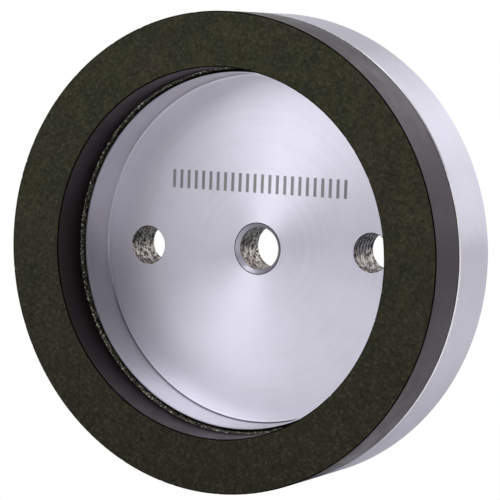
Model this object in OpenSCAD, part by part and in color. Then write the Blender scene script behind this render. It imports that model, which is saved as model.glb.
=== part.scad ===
// Cup-shaped diamond grinding wheel: an aluminium body with a resin-bond abrasive ring glued on its rim.
// The wheel turns about the Y axis. The abrasive face looks along -Y and the flat back along +Y.
// The origin is the centre of the wheel, on its axis and half way through its height.

/* [Wheel] */
// Outside diameter of the wheel
wheel_d = 130; // [125:1:180]
// Height from the abrasive face to the flat back
wheel_h = 36; // [32:0.5:50]

/* [Abrasive ring] */
// Radial width of the abrasive face
face_w = 15; // [8:0.5:18]
// Depth of the layer that holds the diamond
diamond_h = 12; // [8:0.5:12]
// Depth of the plain resin layer behind the diamond layer
base_h = 3; // [1:0.5:3]
// Edge break on the corners of the abrasive face
face_break = 0.3; // [0.1:0.1:1]

/* [Body] */
// Depth of the cup, from the abrasive face to the floor of the cup
cup_depth = 24; // [22:0.5:25]
// Wall left between the floor's edge and the bore of the ring
lip_w = 1.5; // [1.3:0.1:3]
// Height of the locating lip above the seat of the ring
lip_h = 2.75; // [2:0.25:4]
// Lead-in chamfer on the outside of the locating lip
lip_chamfer = 0.9; // [0.3:0.1:1]
// Radius of the corner between the cup's wall and its floor
corner_r = 0.5; // [0.5:0.25:3]
// Edge break on the front rim of the body, beside the seam
rim_break = 0.4; // [0.2:0.1:1]
// Chamfer around the back of the body
back_chamfer = 2.5; // [0.5:0.25:4]

/* [Holes] */
// Diameter of the spindle bore
bore_d = 12; // [10:0.5:20]
// Chamfer of the spindle bore, on the floor of the cup
bore_chamfer = 1; // [0.5:0.1:2]
// Edge break of the spindle bore, on the back
bore_break = 0.4; // [0.2:0.1:1]
// Diameter of the two fixing holes
fixing_d = 10.5; // [6:0.5:14]
// Distance between the two fixing holes
fixing_spacing = 70; // [50:1:76]

/* [Adhesive] */
// Thickness of the glue film under the ring
film_t = 0.25; // [0.1:0.05:0.4]
// Clearance filled with glue between the lip and the bore of the ring
lip_gap = 0.3; // [0.2:0.05:0.5]
// How far the squeezed-out bead stands in from the bore of the ring
bead_t = 0.6; // [0.4:0.1:0.9]
// Height of the squeezed-out bead along the bore of the ring
bead_h = 1.7; // [1:0.1:2.2]
// How far the film stops short of the outside of the wheel
seam_depth = 0.3; // [0.1:0.1:0.6]

/* [Hidden] */

wheel_r = wheel_d / 2;
ring_r = wheel_r - face_w;
bore_r = bore_d / 2;
fixing_r = fixing_d / 2;

// Depths are measured from the abrasive face towards the back.
ring_depth = diamond_h + base_h;
seat_depth = ring_depth + film_t;
lip_depth = seat_depth - lip_h;
lip_r = ring_r - lip_gap;
cup_r = ring_r - lip_w;
film_r = wheel_r - seam_depth;
bead_depth = lip_depth + lip_chamfer - bead_h;

// Extra length of a cutter past each face that it cuts
past = 1;
round_steps = 8;
$fn = 180;

// Turns an outline of [radius, depth] points into a solid on the Y axis.
module turned() {
    rotate([-90, 0, 0])
        translate([0, 0, -wheel_h / 2])
            rotate_extrude()
                children();
}

// Drills along the Y axis from one depth to another, at a distance from the axis along X.
module drilled(radius, offset_x, from_depth, to_depth) {
    rotate([-90, 0, 0])
        translate([offset_x, 0, from_depth - wheel_h / 2])
            cylinder(h = to_depth - from_depth, r = radius);
}

// Cuts a 45 degree chamfer at one mouth of the spindle bore. Direction 1 opens towards the front.
module bore_mouth(depth, size, direction) {
    turned()
        polygon([
            [0, depth - direction * past],
            [bore_r + size + past, depth - direction * past],
            [bore_r, depth + direction * size],
            [0, depth + direction * size]
        ]);
}

// The inside corner of the cup, from the wall to the floor, as a round stretch.
function cup_corner() = [
    for (i = [0 : round_steps])
        let (angle = 90 * i / round_steps)
        [cup_r - corner_r + corner_r * cos(angle), cup_depth - corner_r + corner_r * sin(angle)]
];

module body_outline() {
    polygon(concat(
        [
            [0, wheel_h],
            [wheel_r - back_chamfer, wheel_h],
            [wheel_r, wheel_h - back_chamfer],
            [wheel_r, seat_depth + rim_break],
            [wheel_r - rim_break, seat_depth],
            [lip_r, seat_depth],
            [lip_r, lip_depth + lip_chamfer],
            [lip_r - lip_chamfer, lip_depth],
            [cup_r, lip_depth]
        ],
        cup_corner(),
        [[0, cup_depth]]
    ));
}

module body() {
    color("gainsboro")
        difference() {
            turned()
                body_outline();
            drilled(bore_r, 0, cup_depth - past, wheel_h + past);
            bore_mouth(cup_depth, bore_chamfer, 1);
            bore_mouth(wheel_h, bore_break, -1);
            for (side = [-1, 1])
                drilled(fixing_r, side * fixing_spacing / 2, cup_depth - past, wheel_h + past);
        }
}

module base_ring() {
    color("dimgray")
        turned()
            polygon([
                [ring_r, diamond_h],
                [wheel_r, diamond_h],
                [wheel_r, ring_depth],
                [ring_r, ring_depth]
            ]);
}

module diamond_ring() {
    color("darkolivegreen")
        turned()
            polygon([
                [ring_r + face_break, 0],
                [wheel_r - face_break, 0],
                [wheel_r, face_break],
                [wheel_r, diamond_h],
                [ring_r, diamond_h],
                [ring_r, face_break]
            ]);
}

// One cured glue line: the bead inside the ring, the fill beside the lip and the film on the seat.
module adhesive() {
    color("tan")
        turned()
            polygon([
                [ring_r, bead_depth],
                [ring_r - bead_t / 2, bead_depth + bead_h / 8],
                [ring_r - bead_t, bead_depth + bead_h / 2],
                [lip_r, bead_depth + bead_h],
                [lip_r, seat_depth],
                [film_r, seat_depth],
                [film_r, ring_depth],
                [ring_r, ring_depth]
            ]);
}

body();
base_ring();
diamond_ring();
adhesive();
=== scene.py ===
"""Looks for a cup-shaped diamond grinding wheel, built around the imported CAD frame.

The wheel's axis is Y, its abrasive face looks along -Y and it stands on its rim, with +Z up.
Lengths are in millimetres in the outlines and in metres in Blender. A depth is the distance from
the abrasive face towards the back.
"""

import math

import bmesh
import bpy
import numpy as np
from mathutils import Matrix, Vector


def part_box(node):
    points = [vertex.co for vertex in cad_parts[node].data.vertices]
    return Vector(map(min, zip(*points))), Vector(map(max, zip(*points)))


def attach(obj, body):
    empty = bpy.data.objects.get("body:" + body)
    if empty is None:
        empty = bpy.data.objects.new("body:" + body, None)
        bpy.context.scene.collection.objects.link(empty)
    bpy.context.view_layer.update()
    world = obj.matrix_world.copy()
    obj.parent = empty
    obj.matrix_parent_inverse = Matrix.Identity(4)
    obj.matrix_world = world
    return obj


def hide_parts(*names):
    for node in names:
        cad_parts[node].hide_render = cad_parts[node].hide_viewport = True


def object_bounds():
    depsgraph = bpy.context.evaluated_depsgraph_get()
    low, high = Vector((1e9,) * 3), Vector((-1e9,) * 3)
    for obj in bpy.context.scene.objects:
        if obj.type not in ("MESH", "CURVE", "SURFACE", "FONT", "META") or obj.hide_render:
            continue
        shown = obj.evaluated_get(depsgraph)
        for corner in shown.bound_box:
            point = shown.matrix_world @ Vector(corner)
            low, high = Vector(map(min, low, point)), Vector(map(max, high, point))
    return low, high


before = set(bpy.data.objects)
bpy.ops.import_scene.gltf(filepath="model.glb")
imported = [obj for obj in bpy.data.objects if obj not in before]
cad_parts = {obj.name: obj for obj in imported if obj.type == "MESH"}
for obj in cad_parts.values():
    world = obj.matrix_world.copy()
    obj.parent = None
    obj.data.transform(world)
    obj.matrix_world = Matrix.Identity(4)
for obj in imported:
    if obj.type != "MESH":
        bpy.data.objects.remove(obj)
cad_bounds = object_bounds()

MM = 0.001
SEED = 4107
# Two lengths in millimetres that are closer than this are the same.
SAME = 1e-6
# A step for a stretch of the outline that stays one band, however long it is.
WHOLE = math.inf

# Sizes that the frame gives: outside radius, and depths of each layer.
LOW, HIGH = cad_bounds
FACE_Y = LOW[1]
WHEEL_R = HIGH[0] / MM
WHEEL_H = (HIGH[1] - LOW[1]) / MM


def depth_of(y):
    """Depth in millimetres of a Y place in metres."""
    return (y - FACE_Y) / MM


DIAMOND_END = depth_of(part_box("diamond_ring")[1][1])
RING_END = depth_of(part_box("base_ring")[1][1])
LIP_DEPTH = depth_of(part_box("body")[0][1])
SEAT_DEPTH = depth_of(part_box("adhesive")[1][1])
BEAD_DEPTH = depth_of(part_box("adhesive")[0][1])
FILM_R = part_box("adhesive")[1][0] / MM

# Sizes of the CAD solids that the frame's boxes don't show.
RING_BORE_R = 50.0
LIP_GAP = 0.3
LIP_R = RING_BORE_R - LIP_GAP
LIP_CHAMFER = 0.9
LIP_W = 1.5
CUP_R = RING_BORE_R - LIP_W
CUP_DEPTH = 24.0
CORNER_R = 0.5
RIM_BREAK = 0.4
BACK_CHAMFER = 2.5
BORE_R = 6.0
BORE_CHAMFER = 1.0
BORE_BREAK = 0.4
FIXING_R = 5.25
FIXING_X = 35.0
FACE_BREAK = 0.3
BEAD_T = 0.6
BEAD_H = 1.7

# Details that only the looks have: the edge break of the fixing holes, the groove beside the seam and the
# dark band next to it, a line of painted shade round the spindle bore, and the drill's feed.
FIXING_BREAK = 0.2
SEAM_BREAK = 0.35
SEAM_STAIN = 0.45
BORE_SHADE_LINE = 0.25
DRILL_PITCH = 1.9

# The tick row on the cup's floor: its ends, its height above the axis, its tilt in degrees, and the
# number and size of the ticks.
TICKS_LEFT = -27.6
TICKS_RIGHT = 27.0
TICKS_UP = 18.0
TICKS_TILT = 2.2
TICK_COUNT = 24
TICK_W = 0.95
TICK_H = 5.2

# How rough surfaces are: turning marks on the cup's floor, the torn walls of the bore and of the
# fixing holes, and the pits and the edge chips of the abrasive face.
FLOOR_MARKS = 0.0022
BORE_TORN = 0.12
FIXING_TORN = 0.18
PIT_DEPTH = 0.012
CHIP_DEPTH = 0.10

# Shares of drill ridges, torn patches and fine grains in a torn wall.
RIDGES = 0.55
PATCHES = 0.38
GRAINS = 0.28

# How full the glue bead is on average, how much its lumps and grains change that, and its least.
BEAD_MEAN = 0.60
BEAD_LUMPS = 0.20
BEAD_GRAIN = 0.16
BEAD_LEAST = 0.15

# Vertices around the axis.
HUB_COLUMNS = 320
DRILL_COLUMNS = 150
RING_COLUMNS = 600
GLUE_COLUMNS = 1200

# The turn, in degrees, from which an edge is sharp.
HUB_SHARP = 28
RING_SHARP = 30
GLUE_SHARP = 60

# Camera: where it looks, how far away it is, and its direction in degrees.
VIEW_AT = Vector((0.000945, 0.0, 0.000023))
VIEW_DISTANCE = 0.69017
VIEW_AZIMUTH = 28.552
VIEW_ELEVATION = 3.892
SENSOR_MM = 36.0
LENS_MM = 181.2

# Studio light, in units of the radiance that shows as white. A glow is the direction that it comes
# from, the cosines of the angles where it starts and is full, and how much it adds. The one that
# takes light away is the dark room behind the camera.
WORLD_BASE = 0.25
WORLD_GLOWS = (
    ((0.0, 1.0, 0.0), -0.3, 0.5, 0.32),
    ((0.45, 0.89, 0.0), 0.6, 1.0, 0.50),
    ((-0.8, -0.5, 0.25), 0.5, 0.95, 0.55),
    ((0.48, -0.87, 0.05), 0.85, 0.99, -0.08),
)
# The camera sees the floor and the background plain white. FLOOR_LIT is how pale the floor is to the
# wheel, and FLOOR_REACH is half its width in metres.
BACKGROUND = 1.0
FLOOR_LIT = 0.98
FLOOR_REACH = 6.0
# A softbox is a name, the direction it shines from, its distance and size in metres and radiance.
SOFTBOXES = (
    ("softbox_key", (-0.27, -0.86, 0.43), 0.9, (0.50, 0.62), 1.78),
    ("softbox_top", (-0.08, -0.50, 0.86), 0.42, (0.30, 0.20), 2.6),
    ("softbox_back", (0.17, 0.88, 0.44), 1.0, (0.50, 0.34), 0.5),
    ("softbox_side", (0.85, 0.25, 0.46), 0.8, (0.5, 0.5), 0.7),
    ("strip_right", (0.88, -0.48, 0.02), 0.8, (0.08, 0.7), 2.2),
    ("strip_upper", (0.50, -0.42, 0.76), 0.8, (0.12, 0.6), 1.3),
)


# ---------------------------------------------------------------- meshes

def leg_points(start, end, step):
    """Points after start up to end, about step apart."""
    length = math.dist(start, end)
    count = max(1, round(length / step))
    return [
        (start[0] + (end[0] - start[0]) * i / count, start[1] + (end[1] - start[1]) * i / count)
        for i in range(1, count + 1)
    ]


def trace(start, legs):
    """A closed outline of (radius, depth) from legs of (end, step, skin), and each band's skin.

    Band i lies between point i and the next one."""
    points, skins = [start], []
    for end, step, skin in legs:
        for point in leg_points(points[-1], end, step):
            points.append(point)
            skins.append(skin)
    if math.dist(points[0], points[-1]) < SAME:
        points.pop()
    return np.array(points), skins


def arc_legs(centre, radius, first, last, steps, skin):
    """Legs along an arc of the outline, one band each, its angles in degrees."""
    legs = []
    for i in range(1, steps + 1):
        angle = math.radians(first + (last - first) * i / steps)
        end = (centre[0] + radius * math.cos(angle), centre[1] + radius * math.sin(angle))
        legs.append((end, WHOLE, skin))
    return legs


def swept(points, columns):
    """Grids of angle, radius and depth for an outline that is turned around the axis."""
    angle = np.linspace(0, 2 * math.pi, columns, endpoint=False)[None, :]
    radius = np.repeat(points[:, :1], columns, 1)
    depth = np.repeat(points[:, 1:], columns, 1)
    return angle, radius, depth


def waves(rng, around, along, count, turns, reach):
    """Smooth seeded noise of unit size that closes on itself around the axis.

    It adds count waves. Each has a number of turns from the range, and reach is how fast they change
    along the other way."""
    total = np.zeros(np.broadcast(around, along).shape)
    for _ in range(count):
        total += np.cos(
            rng.integers(turns[0], turns[1] + 1) * around
            + rng.normal(0, reach) * along
            + rng.uniform(0, 2 * math.pi)
        )
    return total / math.sqrt(count / 2)


def grid_mesh(name, radius, depth, skins, materials, closed=True):
    """A turned mesh from grids of radius and depth, with a row per outline point."""
    rows, columns = radius.shape
    angle = np.linspace(0, 2 * math.pi, columns, endpoint=False)[None, :]
    co = np.stack(
        [radius * np.cos(angle) * MM, FACE_Y + depth * MM, radius * np.sin(angle) * MM], -1
    ).reshape(-1, 3)
    bands = rows if closed else rows - 1
    i = np.arange(bands)[:, None]
    j = np.arange(columns)[None, :]
    here, there = i * columns, ((i + 1) % rows) * columns
    after = (j + 1) % columns
    quads = np.stack([here + j, there + j, there + after, here + after], -1).reshape(-1, 4)
    r, d = radius[:, 0], depth[:, 0]
    if np.sum(r * np.roll(d, -1) - np.roll(r, -1) * d) < 0:
        quads = quads[:, ::-1]
    mesh = bpy.data.meshes.new(name)
    mesh.from_pydata(co.tolist(), [], quads.tolist())
    for material in materials:
        mesh.materials.append(material)
    mesh.polygons.foreach_set("material_index", np.repeat(np.array(skins, int), columns))
    return link(name, mesh)


def link(name, mesh):
    """A new object of that mesh in the scene."""
    mesh.validate()
    mesh.update()
    ob = bpy.data.objects.new(name, mesh)
    bpy.context.scene.collection.objects.link(ob)
    return ob


def smooth(ob, edge_angle):
    """Shades a mesh smooth, with a sharp edge wherever it turns by more than edge_angle degrees."""
    ob.data.shade_smooth()
    ob.data.set_sharp_from_angle(angle=math.radians(edge_angle))


def apply_modifiers(ob):
    """Leaves the object with the mesh that its modifiers make."""
    graph = bpy.context.evaluated_depsgraph_get()
    shown = ob.evaluated_get(graph)
    made = bpy.data.meshes.new_from_object(shown, preserve_all_data_layers=True, depsgraph=graph)
    ob.modifiers.clear()
    old, ob.data = ob.data, made
    bpy.data.meshes.remove(old)


def stand_for(ob, node):
    """The piece rides on the wheel and stands for that CAD node, whose mesh it hides."""
    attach(ob, "root")
    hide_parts(node)
    return ob


# ---------------------------------------------------------------- shader helpers

class Nodes:
    """A material's node tree, with short calls for the nodes that the materials share."""

    def __init__(self, name):
        self.material = bpy.data.materials.new(name)
        self.material.use_nodes = True
        self.tree = self.material.node_tree
        self.tree.nodes.clear()
        self.shader = self.add("ShaderNodeBsdfPrincipled")
        self.output = self.add("ShaderNodeOutputMaterial")
        self.join(self.shader.outputs["BSDF"], self.output.inputs["Surface"])
        self.place = self.add("ShaderNodeTexCoord").outputs["Object"]

    def add(self, kind):
        return self.tree.nodes.new(kind)

    def join(self, source, target):
        self.tree.links.new(source, target)

    def put(self, socket, value):
        if isinstance(value, bpy.types.NodeSocket):
            self.join(value, socket)
        else:
            socket.default_value = value

    def math(self, operation, a, b=0.0):
        node = self.add("ShaderNodeMath")
        node.operation = operation
        self.put(node.inputs[0], a)
        self.put(node.inputs[1], b)
        return node.outputs[0]

    def ramp(self, value, low, high, out_low=0.0, out_high=1.0):
        """The value's way from low to high, as a number from out_low to out_high."""
        node = self.add("ShaderNodeMapRange")
        self.put(node.inputs["Value"], value)
        node.inputs["From Min"].default_value = low
        node.inputs["From Max"].default_value = high
        node.inputs["To Min"].default_value = out_low
        node.inputs["To Max"].default_value = out_high
        return node.outputs["Result"]

    def noise(self, size_mm, detail=2.0, rough=0.5):
        """Noise from 0 to 1, whose spots are about size_mm across."""
        node = self.add("ShaderNodeTexNoise")
        self.join(self.place, node.inputs["Vector"])
        node.inputs["Scale"].default_value = 1 / (size_mm * MM)
        node.inputs["Detail"].default_value = detail
        node.inputs["Roughness"].default_value = rough
        return node.outputs["Fac"]

    def lines(self, value, size_mm, detail=2.0):
        """Noise along a length in metres, in lines about size_mm apart."""
        node = self.add("ShaderNodeTexNoise")
        node.noise_dimensions = "1D"
        self.join(value, node.inputs["W"])
        node.inputs["Scale"].default_value = 1 / (size_mm * MM)
        node.inputs["Detail"].default_value = detail
        return node.outputs["Fac"]

    def grains(self, size_mm):
        """The distance to the nearest of many scattered points, from 0 to about 1."""
        node = self.add("ShaderNodeTexVoronoi")
        self.join(self.place, node.inputs["Vector"])
        node.inputs["Scale"].default_value = 1 / (size_mm * MM)
        return node.outputs["Distance"]

    def mix(self, factor, a, b):
        """Colour a where the factor is 0, and colour b where it is 1."""
        node = self.add("ShaderNodeMix")
        node.data_type = "RGBA"
        self.put(node.inputs["Factor"], factor)
        self.put(node.inputs["A"], a if isinstance(a, bpy.types.NodeSocket) else (*a, 1.0))
        self.put(node.inputs["B"], b if isinstance(b, bpy.types.NodeSocket) else (*b, 1.0))
        return node.outputs["Result"]

    def split(self):
        """The place's X, Y and Z, in metres."""
        node = self.add("ShaderNodeSeparateXYZ")
        self.join(self.place, node.inputs[0])
        return node.outputs

    def axis_distance(self):
        """The distance from the wheel's axis, in metres."""
        x, _, z = self.split()
        return self.math("SQRT", self.math("ADD", self.math("POWER", x, 2), self.math("POWER", z, 2)))

    def bump(self, height, depth_mm, after=None):
        """The normal of a surface whose heights from 0 to 1 are depth_mm apart."""
        node = self.add("ShaderNodeBump")
        node.inputs["Distance"].default_value = depth_mm * MM
        self.join(height, node.inputs["Height"])
        if after is not None:
            self.join(after, node.inputs["Normal"])
        return node.outputs["Normal"]

    def set(self, **values):
        """Sets the shader's sockets by name, with underscores for spaces."""
        for name, value in values.items():
            socket = self.shader.inputs[name.replace("_", " ")]
            if isinstance(value, tuple) and len(value) == 3:
                value = (*value, 1.0)
            self.put(socket, value)


# ---------------------------------------------------------------- materials

ALUMINIUM = (0.715, 0.70, 0.81)
ALUMINIUM_DULL = (0.65, 0.635, 0.73)
# The cup's inner wall: a darker copy of the same turned aluminium, as painted shade.
SHADED_WALL = (0.57, 0.555, 0.595)
SHADED_WALL_DULL = (0.50, 0.485, 0.515)
ETCH_GREY = (0.36, 0.36, 0.38)
CHAMFER_HIGHLIGHT = (0.95, 0.94, 0.98)
SIDE_TINT = (0.92, 0.45, 1.00)
BORE_TINT = (1.00, 0.62, 0.72)
BLACK = (0.0015, 0.0015, 0.0015)


def etched_ticks(n):
    """1 on a plain row of equal ticks above the bore, slightly tilted, and 0 elsewhere."""
    x, y, z = n.split()
    tilt = math.radians(TICKS_TILT)
    pitch = (TICKS_RIGHT - TICKS_LEFT - TICK_W) / (TICK_COUNT - 1)
    along = n.math("SUBTRACT", n.math("MULTIPLY", x, math.cos(tilt)), n.math("MULTIPLY", z, math.sin(tilt)))
    up = n.math("ADD", n.math("MULTIPLY", x, math.sin(tilt)), n.math("MULTIPLY", z, math.cos(tilt)))
    step = n.math("FRACT", n.math("DIVIDE", n.math("SUBTRACT", along, TICKS_LEFT * MM), pitch * MM))
    off_row = n.math("ABSOLUTE", n.math("SUBTRACT", up, TICKS_UP * MM))
    just_behind_floor = FACE_Y + (CUP_DEPTH + 0.5) * MM
    marks = [
        n.math("LESS_THAN", step, TICK_W / pitch),
        n.math("GREATER_THAN", along, TICKS_LEFT * MM),
        n.math("LESS_THAN", along, TICKS_RIGHT * MM),
        n.math("LESS_THAN", off_row, TICK_H / 2 * MM),
        n.math("LESS_THAN", y, just_behind_floor),
    ]
    inside = marks[0]
    for mark in marks[1:]:
        inside = n.math("MULTIPLY", inside, mark)
    return inside


def turned_aluminium(name, bright, dull, ticks):
    """Satin aluminium with fine turned marks around the axis, which spread its highlights.

    With ticks, it has the etched row."""
    n = Nodes(name)
    radius = n.axis_distance()
    _, y, _ = n.split()
    across = n.math("ADD", radius, y)
    fine = n.lines(across, 0.35, 3.0)
    coarse = n.lines(across, 1.6, 2.0)
    smudge = n.noise(16.0, 3.0, 0.6)
    tangent = n.add("ShaderNodeTangent")
    tangent.direction_type = "RADIAL"
    tangent.axis = "Y"
    tone = n.mix(n.ramp(smudge, 0.3, 0.7), dull, bright)
    tone = n.mix(n.ramp(coarse, 0.35, 0.65, 0.0, 0.5), tone, bright)
    rough = n.ramp(fine, 0.3, 0.7, 0.30, 0.38)
    if ticks:
        etched = etched_ticks(n)
        tone = n.mix(etched, tone, ETCH_GREY)
        rough = n.math("ADD", rough, n.math("MULTIPLY", etched, 0.3))
    n.set(
        Base_Color=tone,
        Metallic=1.0,
        Roughness=rough,
        Anisotropic=0.75,
        Anisotropic_Rotation=0.25,
        Tangent=tangent.outputs[0],
        Normal=n.bump(coarse, 0.006, n.bump(fine, 0.004)),
    )
    return n.material


def highlight_chamfer():
    """A clean, smooth chamfer, paler and smoother than the turned aluminium: a painted highlight along the
    rim.
    """
    n = Nodes("highlight_chamfer")
    n.set(Base_Color=CHAMFER_HIGHLIGHT, Metallic=1.0, Roughness=0.25)
    return n.material


def smear_and_shade_aluminium():
    """Dark, smeared aluminium: glue on the lip where the glue line covers it, and painted shade for the gap
    line at the lip's chamfer and for the line round the bore.
    """
    n = Nodes("smear_and_shade_aluminium")
    smear = n.noise(0.9, 3.0, 0.7)
    tone = n.mix(n.ramp(smear, 0.45, 0.7), (0.006, 0.006, 0.006), (0.05, 0.045, 0.04))
    n.set(Base_Color=tone, Metallic=0.3, Roughness=0.5, Specular_IOR_Level=0.2)
    return n.material


def cup_corner():
    """The tight corner of the cup, with painted shade: grey above, dark towards the foot."""
    n = Nodes("cup_corner")
    _, _, z = n.split()
    # Painted shade in the corner, growing darker towards the foot.
    foot = n.ramp(z, 0.0, -18.0 * MM)
    tone = n.mix(foot, (0.54, 0.53, 0.58), (0.12, 0.12, 0.145))
    n.set(Base_Color=tone, Metallic=1.0, Roughness=0.45)
    return n.material


def drilled_aluminium():
    """The torn wall of a drilled hole, speckled and streaked: painted shade makes it dark above, painted
    shade and highlight make drill ridges at the right, and painted light makes it brown and cream below.
    """
    n = Nodes("drilled_aluminium")
    x, y, z = n.split()
    torn = n.noise(0.8, 3.0, 0.65)
    streak = n.noise(1.6, 2.0, 0.6)
    pale = n.mix(n.ramp(streak, 0.44, 0.58), (0.27, 0.21, 0.19), (0.74, 0.69, 0.66))
    # Painted light: the lower wall is pale brown and cream between dark torn specks.
    below = n.mix(n.ramp(torn, 0.43, 0.49), (0.008, 0.007, 0.007), pale)
    dull = n.mix(n.ramp(streak, 0.44, 0.58), (0.10, 0.095, 0.09), (0.34, 0.33, 0.30))
    speckled = n.mix(n.ramp(torn, 0.47, 0.53), (0.003, 0.003, 0.003), dull)
    wander = n.math("MULTIPLY", torn, 0.5)
    turn = n.math("FRACT", n.math("ADD", n.math("DIVIDE", y, DRILL_PITCH * MM), wander))
    # Dark and light stripes along the drill's feed: painted shade and highlight on the ridges.
    ridged = n.mix(n.ramp(turn, 0.45, 0.60), (0.003, 0.003, 0.005), (0.26, 0.25, 0.29))
    above = n.mix(n.ramp(x, 5.0 * MM, 25.0 * MM), speckled, ridged)
    n.set(
        # Painted shade and light: dark above the hole's middle, pale below it.
        Base_Color=n.mix(n.ramp(z, -1.5 * MM, 1.0 * MM), below, above),
        Metallic=0.85,
        Roughness=n.ramp(torn, 0.3, 0.7, 0.25, 0.5),
        Normal=n.bump(torn, 0.15),
    )
    return n.material


def abrasive_face():
    """The dressed face of the diamond layer: olive resin, mottled and finely pitted."""
    n = Nodes("abrasive_face")
    _, _, z = n.split()
    blotch = n.noise(9.0, 3.0, 0.6)
    patch = n.noise(26.0, 2.0, 0.5)
    cloud = n.noise(2.6, 2.0, 0.6)
    grit = n.noise(0.8, 3.0, 0.7)
    pores = n.grains(0.8)
    tone = n.mix(n.ramp(blotch, 0.35, 0.65), (0.0180, 0.0196, 0.0092), (0.0315, 0.0302, 0.0155))
    tone = n.mix(n.ramp(cloud, 0.50, 0.68, 0.0, 0.22), tone, (0.0130, 0.0150, 0.0065))
    tone = n.mix(n.ramp(patch, 0.52, 0.70, 0.0, 0.6), tone, (0.036, 0.026, 0.0175))
    # Painted shade: the face gets darker and browner towards its bottom.
    tone = n.mix(n.ramp(z, 20.0 * MM, LOW[2], 0.0, 0.6), tone, (0.0180, 0.0150, 0.0085))
    tone = n.mix(n.ramp(grit, 0.29, 0.48, 0.95, 0.0), tone, (0.004, 0.005, 0.002))
    tone = n.mix(n.ramp(grit, 0.54, 0.74, 0.0, 0.75), tone, (0.074, 0.072, 0.045))
    n.set(
        Base_Color=tone,
        Roughness=n.ramp(blotch, 0.3, 0.7, 0.78, 0.9),
        Specular_IOR_Level=0.2,
        Normal=n.bump(grit, 0.09, n.bump(pores, 0.04)),
    )
    return n.material


def worn_and_shaded_edge():
    """The broken, matt black edges of the abrasive face, also used for the dark band beside the seam: worn
    resin, with painted shade along the face's inner edge.
    """
    n = Nodes("worn_and_shaded_edge")
    n.set(Base_Color=BLACK, Roughness=0.9, Specular_IOR_Level=0.02)
    return n.material


def ground_resin(name, dark, light, fleck, rough, gloss, tint, painted_depth_shade=0.0):
    """The ground sides of a resin layer, smoother than its face, with marks around the axis.

    Gloss is its specular level, and tint the colour of that gloss. With painted_depth_shade it gets darker
    and duller with depth, a painted shade deep in the bore, by that share near the back of the diamond
    layer."""
    n = Nodes(name)
    _, y, _ = n.split()
    blotch = n.noise(7.0, 3.0, 0.6)
    grit = n.noise(0.5, 3.0, 0.7)
    rings = n.lines(n.math("ADD", n.axis_distance(), y), 0.5, 2.0)
    tone = n.mix(n.ramp(blotch, 0.35, 0.65), dark, light)
    tone = n.mix(n.ramp(grit, 0.6, 0.75, 0.0, 0.5), tone, fleck)
    # Painted shade deep in the bore: darker and duller towards the back.
    depth_shade_share = n.ramp(y, FACE_Y, FACE_Y + 0.8 * DIAMOND_END * MM, 0.0, painted_depth_shade)
    n.set(
        Base_Color=n.mix(depth_shade_share, tone, BLACK),
        Roughness=n.ramp(blotch, 0.3, 0.7, rough, rough + 0.12),
        Specular_IOR_Level=n.math("MULTIPLY", n.math("SUBTRACT", 1.0, depth_shade_share), gloss),
        Specular_Tint=tint,
        Normal=n.bump(rings, 0.008, n.bump(grit, 0.015)),
    )
    return n.material


def cured_adhesive():
    """Squeezed-out adhesive, grainy and glossy, with pale flecks in it."""
    n = Nodes("cured_adhesive")
    grain = n.grains(0.55)
    clump = n.noise(0.8, 3.0, 0.7)
    fleck = n.noise(0.6, 2.0, 0.6)
    tone = n.mix(n.ramp(clump, 0.45, 0.62), (0.005, 0.0045, 0.0035), (0.085, 0.078, 0.055))
    tone = n.mix(n.ramp(fleck, 0.57, 0.62), tone, (0.62, 0.60, 0.48))
    n.set(
        Base_Color=tone,
        Roughness=n.ramp(clump, 0.3, 0.7, 0.25, 0.5),
        Specular_IOR_Level=0.4,
        Normal=n.bump(grain, 0.16),
    )
    return n.material


# ---------------------------------------------------------------- pieces

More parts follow.
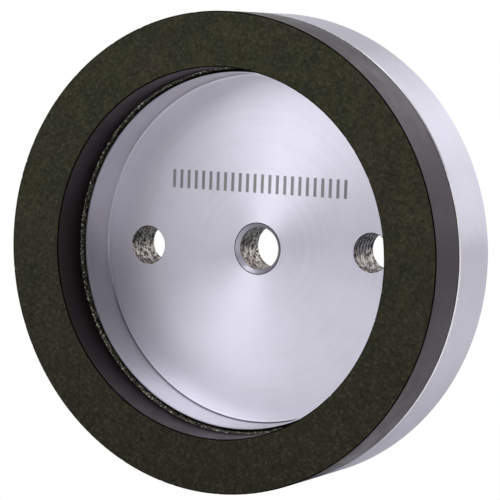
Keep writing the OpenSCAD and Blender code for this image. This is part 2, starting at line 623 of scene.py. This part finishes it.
def build_hub(metal, drilled, shaded_wall_metal, smear_and_shade, edge, corner_shade_metal):
    """The turned body, with its lip, cup, bore and the two fixing holes."""
    rng = np.random.default_rng(SEED)
    turned, torn, inner, dark_band, cut, shaded = range(6)
    corner = (CUP_R - CORNER_R, CUP_DEPTH - CORNER_R)
    start = (BORE_R + BORE_BREAK, WHEEL_H)
    legs = [
        ((WHEEL_R - BACK_CHAMFER, WHEEL_H), 1.0, turned),
        ((WHEEL_R, WHEEL_H - BACK_CHAMFER), 1.2, turned),
        ((WHEEL_R, SEAT_DEPTH + RIM_BREAK), 0.5, turned),
        # The rim's edge break is painted pale: a painted highlight.
        ((WHEEL_R - RIM_BREAK, SEAT_DEPTH), 1.0, cut),
        ((LIP_R, SEAT_DEPTH), 5.0, dark_band),
        ((LIP_R, LIP_DEPTH + LIP_CHAMFER), 2.0, dark_band),
        # The lip's chamfer is nearly black: painted shade for the gap between the glue bead and the lip.
        ((LIP_R - LIP_CHAMFER, LIP_DEPTH), 1.0, dark_band),
        ((CUP_R, LIP_DEPTH), 1.0, turned),
        # The cup's inner wall takes the darker copy of the aluminium: painted shade.
        ((CUP_R, CUP_DEPTH - CORNER_R), 0.5, inner),
        *arc_legs(corner, CORNER_R, 0, 15, 1, inner),
        # The middle of the corner's arc takes painted shade, a dark line in the corner.
        *arc_legs(corner, CORNER_R, 15, 75, 4, shaded),
        *arc_legs(corner, CORNER_R, 75, 90, 1, turned),
        ((BORE_R + BORE_CHAMFER + BORE_SHADE_LINE, CUP_DEPTH), 0.5, turned),
        # A thin band of painted shade round the bore's chamfer, a dark line.
        ((BORE_R + BORE_CHAMFER, CUP_DEPTH), 0.5, dark_band),
        ((BORE_R, CUP_DEPTH + BORE_CHAMFER), 1.0, turned),
        ((BORE_R, WHEEL_H - BORE_BREAK), 0.3, torn),
        (start, 1.0, turned),
    ]
    points, skins = trace(start, legs)
    angle, radius, depth = swept(points, HUB_COLUMNS)
    margin = 0.2
    flat = np.abs(points[:, 1] - CUP_DEPTH) < SAME
    flat &= between(points[:, 0], BORE_R + BORE_CHAMFER + BORE_SHADE_LINE, CUP_R - CORNER_R, margin)
    depth[flat] += rng.normal(0, FLOOR_MARKS, np.sum(flat))[:, None]
    wall = np.abs(points[:, 0] - BORE_R) < SAME
    wall &= between(points[:, 1], CUP_DEPTH + BORE_CHAMFER, WHEEL_H - BORE_BREAK, margin)
    radius[wall] += torn_wall(rng, angle, points[wall, 1:], BORE_TORN)
    hub = grid_mesh("hub_body", radius, depth, skins, [metal, drilled, shaded_wall_metal, smear_and_shade, edge, corner_shade_metal])
    for side in (-1, 1):
        drill(hub, rng, side * FIXING_X, drilled)
    smooth(hub, HUB_SHARP)
    return stand_for(hub, "body")


def between(values, low, high, margin):
    """Where the values lie between low and high, at least a margin away from both."""
    return (values > low + margin) & (values < high - margin)


def torn_wall(rng, angle, depth, size):
    """How far a drilled wall stands off its true radius: helical ridges and torn patches."""
    helix = np.abs(np.sin(0.5 * (angle + depth * 2 * math.pi / DRILL_PITCH))) ** 3
    patches = waves(rng, angle, depth, count=26, turns=(0, 16), reach=2.4)
    fine = waves(rng, angle, depth, count=40, turns=(6, 48), reach=6.0)
    return size * (RIDGES * helix + PATCHES * np.abs(patches) + GRAINS * fine)


def drill(ob, rng, x, drilled):
    """Cuts one fixing hole with a drill that leaves a torn wall and a small edge break."""
    past, margin, tip_r = 0.5, 0.1, 0.0005
    first, last = CUP_DEPTH, WHEEL_H
    start = (0.0, first - past)
    legs = [
        ((FIXING_R + FIXING_BREAK + past, first - past), WHOLE, 0),
        ((FIXING_R, first + FIXING_BREAK), WHOLE, 0),
        ((FIXING_R, last - FIXING_BREAK), 0.28, 0),
        ((FIXING_R + FIXING_BREAK + past, last + past), WHOLE, 0),
        ((0.0, last + past), WHOLE, 0),
    ]
    points, skins = trace(start, legs)
    angle, radius, depth = swept(points, DRILL_COLUMNS)
    wall = np.abs(points[:, 0] - FIXING_R) < SAME
    wall &= between(points[:, 1], first + FIXING_BREAK, last - FIXING_BREAK, margin)
    radius[wall] += torn_wall(rng, angle, points[wall, 1:], FIXING_TORN)
    radius[0] = radius[-1] = tip_r
    tool = grid_mesh("tool", radius, depth, skins, [drilled], closed=False)
    cap_ends(tool)
    tool.data.transform(Matrix.Translation((x * MM, 0, 0)))
    cut = ob.modifiers.new("hole", "BOOLEAN")
    cut.operation = "DIFFERENCE"
    cut.solver = "EXACT"
    cut.material_mode = "TRANSFER"
    cut.object = tool
    apply_modifiers(ob)
    bpy.data.objects.remove(tool)


def cap_ends(ob):
    """Closes the two ends of an open turned mesh."""
    shape = bmesh.new()
    shape.from_mesh(ob.data)
    bmesh.ops.holes_fill(shape, edges=shape.edges, sides=0)
    bmesh.ops.recalc_face_normals(shape, faces=shape.faces)
    shape.to_mesh(ob.data)
    shape.free()


def build_diamond(face, side, bore, worn_and_shade):
    """The abrasive layer, with a pitted face and slightly chipped edges."""
    rng = np.random.default_rng(SEED + 1)
    dressed, outer, inner, broken = range(4)
    start = (RING_BORE_R + FACE_BREAK, 0.0)
    legs = [
        ((WHEEL_R - FACE_BREAK, 0.0), 0.5, dressed),
        ((WHEEL_R, FACE_BREAK), 0.25, broken),
        ((WHEEL_R, DIAMOND_END), 0.6, outer),
        ((RING_BORE_R, DIAMOND_END), WHOLE, outer),
        ((RING_BORE_R, FACE_BREAK), 0.6, inner),
        # The inner edge break is matt black: worn resin with painted shade where the face meets the bore.
        (start, 0.25, broken),
    ]
    points, skins = trace(start, legs)
    angle, radius, depth = swept(points, RING_COLUMNS)
    pits = np.abs(rng.normal(0, PIT_DEPTH, radius.shape))
    front = points[:, 1] < SAME
    depth[front] += pits[front]
    middle = (RING_BORE_R + WHEEL_R) / 2
    edge = points[:, 1] < FACE_BREAK + SAME
    edge &= np.abs(points[:, 0] - middle) > (WHEEL_R - RING_BORE_R) / 2 - FACE_BREAK - SAME
    wear = waves(rng, angle, 0.0, count=60, turns=(20, 290), reach=0.0)
    chips = np.clip(wear - 1.3, 0, 1.2) * CHIP_DEPTH
    toward = np.sign(middle - points[:, :1])
    radius[edge] += (toward * chips)[edge]
    ring = grid_mesh("diamond_layer", radius, depth, skins, [face, side, bore, worn_and_shade])
    smooth(ring, RING_SHARP)
    return stand_for(ring, "diamond_ring")


def build_base(side, bore, worn_and_shade):
    """The plain resin layer between the diamond layer and the glue line."""
    outer, inner, dark_band = range(3)
    start = (WHEEL_R, DIAMOND_END)
    legs = [
        ((WHEEL_R, RING_END - SEAM_BREAK - SEAM_STAIN), 0.6, outer),
        ((WHEEL_R, RING_END - SEAM_BREAK), 0.5, dark_band),
        ((WHEEL_R - SEAM_BREAK, RING_END), 0.2, dark_band),
        ((RING_BORE_R, RING_END), WHOLE, outer),
        ((RING_BORE_R, DIAMOND_END), 0.6, inner),
        (start, WHOLE, outer),
    ]
    points, skins = trace(start, legs)
    _, radius, depth = swept(points, RING_COLUMNS)
    ring = grid_mesh("base_layer", radius, depth, skins, [side, bore, worn_and_shade])
    smooth(ring, RING_SHARP)
    return stand_for(ring, "base_ring")


def build_glue(glue):
    """The glue line, with its lumpy squeezed-out bead inside the ring."""
    rng = np.random.default_rng(SEED + 2)
    start = (RING_BORE_R, BEAD_DEPTH)
    bead_legs = arc_legs((RING_BORE_R, BEAD_DEPTH + BEAD_H / 2), BEAD_H / 2, -90, -270, 10, 0)
    legs = [
        *bead_legs[:-1],
        ((LIP_R, BEAD_DEPTH + BEAD_H), 1.0, 0),
        ((LIP_R, SEAT_DEPTH), 3.0, 0),
        ((FILM_R, SEAT_DEPTH), WHOLE, 0),
        ((FILM_R, RING_END), WHOLE, 0),
        ((RING_BORE_R, RING_END), WHOLE, 0),
        (start, WHOLE, 0),
    ]
    points, skins = trace(start, legs)
    angle, radius, depth = swept(points, GLUE_COLUMNS)
    bead = slice(1, len(bead_legs))
    out = RING_BORE_R - radius[bead]
    lumps = BEAD_MEAN + BEAD_LUMPS * waves(rng, angle, depth[bead], count=40, turns=(10, 200), reach=2.5)
    grain = rng.normal(0, BEAD_GRAIN, out.shape)
    share = np.clip(lumps + grain, BEAD_LEAST, 1.0) * BEAD_T / (BEAD_H / 2)
    radius[bead] = RING_BORE_R - out * share
    line = grid_mesh("glue_line", radius, depth, skins, [glue])
    smooth(line, GLUE_SHARP)
    return stand_for(line, "adhesive")


# ---------------------------------------------------------------- stage

def build_floor():
    """A pale floor under the rim, which the camera sees as plain white."""
    mesh = bpy.data.meshes.new("floor")
    corners = [
        (x * FLOOR_REACH, y * FLOOR_REACH, LOW[2]) for x, y in ((-1, -1), (1, -1), (1, 1), (-1, 1))
    ]
    mesh.from_pydata(corners, [], [(0, 1, 2, 3)])
    n = Nodes("floor")
    n.set(Base_Color=(FLOOR_LIT,) * 3, Roughness=0.35, Specular_IOR_Level=0.5)
    seen = n.add("ShaderNodeEmission")
    seen.inputs["Strength"].default_value = BACKGROUND
    either = n.add("ShaderNodeMixShader")
    n.join(n.add("ShaderNodeLightPath").outputs["Is Camera Ray"], either.inputs[0])
    n.join(n.shader.outputs["BSDF"], either.inputs[1])
    n.join(seen.outputs["Emission"], either.inputs[2])
    n.join(either.outputs[0], n.output.inputs["Surface"])
    mesh.materials.append(n.material)
    link("floor", mesh)


def add_glow(tree, place, direction, low, high, amount):
    """The light that one glow adds in each direction of the world."""
    toward = tree.nodes.new("ShaderNodeVectorMath")
    toward.operation = "DOT_PRODUCT"
    tree.links.new(place, toward.inputs[0])
    toward.inputs[1].default_value = Vector(direction).normalized()
    glow = tree.nodes.new("ShaderNodeMapRange")
    glow.interpolation_type = "SMOOTHSTEP"
    tree.links.new(toward.outputs["Value"], glow.inputs["Value"])
    glow.inputs["From Min"].default_value = low
    glow.inputs["From Max"].default_value = high
    glow.inputs["To Min"].default_value = 0.0
    glow.inputs["To Max"].default_value = amount
    return glow.outputs["Result"]


def build_world():
    """Soft studio light: an even base and broad glows, with a plain background for the camera."""
    world = bpy.data.worlds.new("studio")
    world.use_nodes = True
    tree = world.node_tree
    tree.nodes.clear()
    place = tree.nodes.new("ShaderNodeTexCoord").outputs["Generated"]
    total = WORLD_BASE
    for glow in WORLD_GLOWS:
        both = tree.nodes.new("ShaderNodeMath")
        tree.links.new(add_glow(tree, place, *glow), both.inputs[0])
        if isinstance(total, float):
            both.inputs[1].default_value = total
        else:
            tree.links.new(total, both.inputs[1])
        total = both.outputs[0]
    seen = tree.nodes.new("ShaderNodeMix")
    tree.links.new(tree.nodes.new("ShaderNodeLightPath").outputs["Is Camera Ray"], seen.inputs["Factor"])
    tree.links.new(total, seen.inputs["A"])
    seen.inputs["B"].default_value = BACKGROUND
    back = tree.nodes.new("ShaderNodeBackground")
    out = tree.nodes.new("ShaderNodeOutputWorld")
    tree.links.new(seen.outputs["Result"], back.inputs["Strength"])
    back.inputs["Color"].default_value = (1.0, 1.0, 1.0, 1.0)
    tree.links.new(back.outputs[0], out.inputs["Surface"])
    bpy.context.scene.world = world


def add_softbox(name, direction, distance, size, radiance):
    """A rectangular softbox that shines on the wheel from that direction.

    An even, matt panel gives off pi times its radiance times its area."""
    data = bpy.data.lights.new(name, "AREA")
    data.shape = "RECTANGLE"
    data.size, data.size_y = size
    data.energy = radiance * math.pi * size[0] * size[1]
    light = bpy.data.objects.new(name, data)
    away = Vector(direction).normalized()
    light.location = away * distance
    light.rotation_euler = away.to_track_quat("Z", "Y").to_euler()
    light.visible_camera = False
    bpy.context.scene.collection.objects.link(light)


def build_lights():
    """All the softboxes."""
    for softbox in SOFTBOXES:
        add_softbox(*softbox)


def build_camera():
    """The camera, at the direction and distance that VIEW_ values give."""
    data = bpy.data.cameras.new("camera")
    data.sensor_width = SENSOR_MM
    data.lens = LENS_MM
    camera = bpy.data.objects.new("camera", data)
    azimuth, elevation = math.radians(VIEW_AZIMUTH), math.radians(VIEW_ELEVATION)
    away = Vector(
        (
            math.sin(azimuth) * math.cos(elevation),
            -math.cos(azimuth) * math.cos(elevation),
            math.sin(elevation),
        )
    )
    camera.location = VIEW_AT + away * VIEW_DISTANCE
    camera.rotation_euler = away.to_track_quat("Z", "Y").to_euler()
    bpy.context.scene.collection.objects.link(camera)
    bpy.context.scene.camera = camera


# ---------------------------------------------------------------- scene

bpy.context.scene.view_settings.view_transform = "Standard"
build_camera()
build_world()
build_lights()
build_floor()

side_resin = ground_resin(
    "diamond_side",
    dark=(0.010, 0.0066, 0.011),
    light=(0.015, 0.0102, 0.016),
    fleck=(0.05, 0.038, 0.052),
    rough=0.25,
    gloss=0.24,
    tint=SIDE_TINT,
)
bore_resin = ground_resin(
    "diamond_bore",
    dark=(0.010, 0.0078, 0.0078),
    light=(0.015, 0.012, 0.012),
    fleck=(0.04, 0.033, 0.032),
    rough=0.45,
    gloss=0.34,
    tint=BORE_TINT,
    painted_depth_shade=0.78,
)
base_resin = ground_resin(
    "base_side",
    dark=(0.009, 0.0060, 0.010),
    light=(0.014, 0.0096, 0.015),
    fleck=(0.04, 0.030, 0.042),
    rough=0.25,
    gloss=0.24,
    tint=SIDE_TINT,
)
worn_and_shade = worn_and_shaded_edge()
build_hub(
    turned_aluminium("turned_aluminium", ALUMINIUM, ALUMINIUM_DULL, ticks=True),
    drilled_aluminium(),
    turned_aluminium("turned_wall_shaded", SHADED_WALL, SHADED_WALL_DULL, ticks=False),
    smear_and_shade_aluminium(),
    highlight_chamfer(),
    cup_corner(),
)
build_diamond(abrasive_face(), side_resin, bore_resin, worn_and_shade)
build_base(base_resin, bore_resin, worn_and_shade)
build_glue(cured_adhesive())
